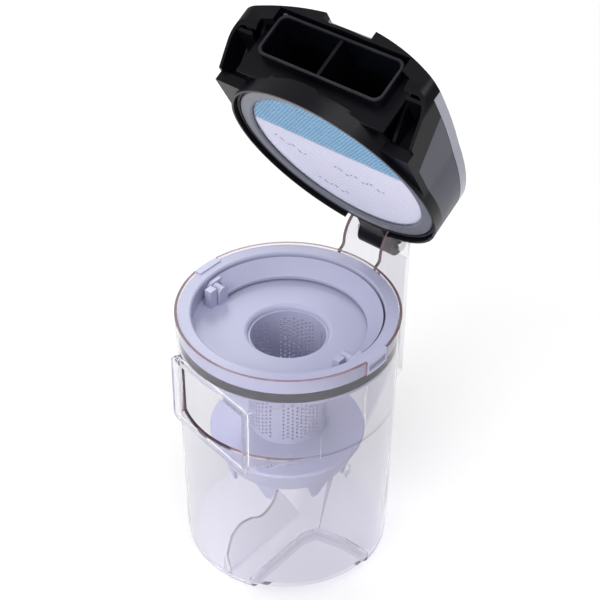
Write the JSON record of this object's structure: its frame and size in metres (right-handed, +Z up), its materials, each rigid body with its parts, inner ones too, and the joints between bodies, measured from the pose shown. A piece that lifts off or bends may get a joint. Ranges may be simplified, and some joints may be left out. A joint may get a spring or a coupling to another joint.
{
  "type": "cyclone dust bin of a canister vacuum cleaner",
  "caption": "Clear cyclone dust bin with a perforated separator tube, a drop-in dish with a swing handle, and a hinged filter lid standing open.",
  "frame": {"origin": "centre of the bin's underside, on the plane it stands on", "axes": "+Z up, +Y towards the lid's hinge, -Y towards the inlet, +X to the right seen from the inlet side"},
  "size_m": [0.156, 0.1977, 0.3843],
  "materials": {
    "clear_plastic": "clear",
    "separator_plastic": "satin",
    "tube_plastic": "satin",
    "lid_plastic": "matt",
    "cover_plastic": "matt",
    "cap_plastic": "silver lacquer",
    "button_plastic": "satin",
    "frame_plastic": "satin",
    "seal_rubber": "matt",
    "steel": "bright",
    "foam": "open-cell foam",
    "felt": "needled felt",
    "net": "fine net"
  },
  "bodies": {
    "bin": {"dust_bin": "clear_plastic", "hinge_pin": "steel", "pin_clip": "steel"},
    "separator": {"separator_bowl": "separator_plastic", "bin_seal": "seal_rubber", "screen_tube": "tube_plastic", "cyclone_disc": "separator_plastic", "handle_pivots": "steel"},
    "handle": {"swing_handle": "separator_plastic"},
    "lid": {"lid_shell": "lid_plastic", "lid_cover": "cover_plastic", "lid_cap": "cap_plastic", "lid_seal": "seal_rubber", "lid_screws": "steel", "port_gasket": "seal_rubber", "button_spring": "steel"},
    "button": {"release_button": "button_plastic"},
    "filter": {"filter_frame": "frame_plastic", "filter_seal": "seal_rubber", "filter_foam": "foam", "filter_felt": "felt", "filter_net": "net"}
  },
  "joints": [
    {"name": "lid_hinge", "type": "hinge", "parent": "bin", "child": "lid", "pos_m": [0, 0.1, 0.2035], "axis": [-1, 0, 0], "range_deg": [-59, 25]},
    {"name": "separator_lift", "type": "slide", "parent": "bin", "child": "separator", "axis": [0, 0, 1], "range_m": [0, 0.035]},
    {"name": "handle_swing", "type": "hinge", "parent": "separator", "child": "handle", "pos_m": [0, -0.007, 0.19], "axis": [1, 0, 0], "range_deg": [0, 90]},
    {"name": "filter_pull", "type": "slide", "parent": "lid", "child": "filter", "axis": [0, -0.8572, -0.515], "range_m": [0, 0.02]},
    {"name": "button_press", "type": "slide", "parent": "lid", "child": "button", "axis": [0, -0.8572, -0.515], "range_m": [0, 0.0024], "stiffness_N_per_m": 400, "deforming": ["button_spring"]}
  ]
}
